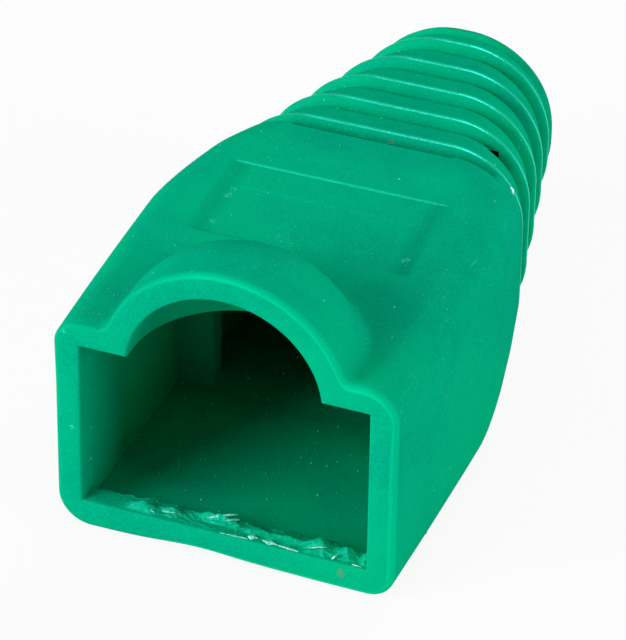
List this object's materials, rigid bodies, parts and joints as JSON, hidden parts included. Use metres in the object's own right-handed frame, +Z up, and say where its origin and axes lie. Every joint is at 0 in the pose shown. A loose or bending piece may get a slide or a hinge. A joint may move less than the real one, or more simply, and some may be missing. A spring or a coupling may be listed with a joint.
{
  "type": "strain relief boot",
  "caption": "Soft one-piece boot that slips over a modular plug, with a hood for the latch and a ribbed, tapering tail for the cable.",
  "frame": {"origin": "centre of the bounding box, on the plane of the flat base", "axes": "+Y from the mouth to the cable tail along the cable's axis, +Z up through the latch hood, +X to the right when looking into the mouth"},
  "size_m": [0.0148, 0.0282, 0.0132],
  "materials": {
    "green_pvc": "satin green soft PVC with faint moulding grain, dust specks and light scuffs"
  },
  "bodies": {
    "root": {"boot": "green_pvc"}
  },
  "joints": []
}
